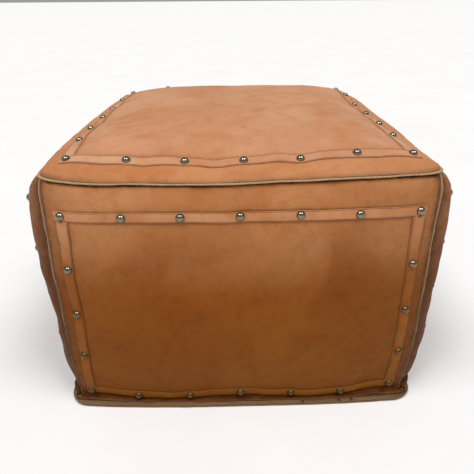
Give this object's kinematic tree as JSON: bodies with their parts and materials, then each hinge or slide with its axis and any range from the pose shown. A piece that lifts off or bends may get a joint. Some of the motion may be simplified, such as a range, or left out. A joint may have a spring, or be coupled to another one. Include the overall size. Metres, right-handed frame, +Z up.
{
  "type": "square leather pouf",
  "caption": "Square stuffed leather pouf: strip-framed, studded faces, raised corner and top welts, stitched base flange and a zip in the underside.",
  "frame": {"origin": "centre of the underside, on the floor", "axes": "+Z up, front face towards -Y, +X to the right seen from the front"},
  "size_m": [0.522, 0.522, 0.3764],
  "materials": {
    "cover_leather": "soft natural tan leather, mottled, low sheen",
    "strip_leather": "natural tan strip leather, slightly lighter than the cover",
    "welt_leather": "pale raw-edged veg-tan leather",
    "stud_metal": "nickel plated, slightly aged",
    "thread": "waxed brown thread",
    "liner_cotton": "unbleached cotton",
    "stuffing": "packed fibre",
    "zip_tape": "woven brown tape",
    "zip_metal": "satin brass"
  },
  "bodies": {
    "pouf": {"back_panel": "cover_leather", "back_strip_left": "strip_leather", "back_strip_lower": "strip_leather", "back_strip_right": "strip_leather", "back_strip_upper": "strip_leather", "back_studs": "stud_metal", "base_panel_left": "cover_leather", "base_panel_right": "cover_leather", "base_seam_thread": "thread", "base_welt": "welt_leather", "corner_welt_back_left": "welt_leather", "corner_welt_back_right": "welt_leather", "corner_welt_front_left": "welt_leather", "corner_welt_front_right": "welt_leather", "front_panel": "cover_leather", "front_strip_left": "strip_leather", "front_strip_lower": "strip_leather", "front_strip_right": "strip_leather", "front_strip_upper": "strip_leather", "front_studs": "stud_metal", "inner_liner": "liner_cotton", "left_panel": "cover_leather", "left_strip_left": "strip_leather", "left_strip_lower": "strip_leather", "left_strip_right": "strip_leather", "left_strip_upper": "strip_leather", "left_studs": "stud_metal", "right_panel": "cover_leather", "right_strip_left": "strip_leather", "right_strip_lower": "strip_leather", "right_strip_right": "strip_leather", "right_strip_upper": "strip_leather", "right_studs": "stud_metal", "stuffing": "stuffing", "top_panel": "cover_leather", "top_strip_back": "strip_leather", "top_strip_front": "strip_leather", "top_strip_left": "strip_leather", "top_strip_right": "strip_leather", "top_studs": "stud_metal", "top_welt": "welt_leather", "zip_bottom_stop": "zip_metal", "zip_tape_left": "zip_tape", "zip_tape_right": "zip_tape", "zip_teeth_left": "zip_metal", "zip_teeth_right": "zip_metal", "zip_top_stops": "zip_metal"},
    "zip_slider": {"zip_slider": "zip_metal"},
    "zip_pull": {"zip_pull_tab": "zip_metal"}
  },
  "joints": [
    {"name": "zip_slide", "type": "slide", "parent": "pouf", "child": "zip_slider", "axis": [0, 1, 0], "range_m": [0, 0.367], "deforming": ["zip_teeth_left", "zip_teeth_right"]},
    {"name": "zip_pull_hinge", "type": "hinge", "parent": "zip_slider", "child": "zip_pull", "pos_m": [0, -0.197, 0.003], "axis": [-1, 0, 0], "range_deg": [0, 150]}
  ]
}
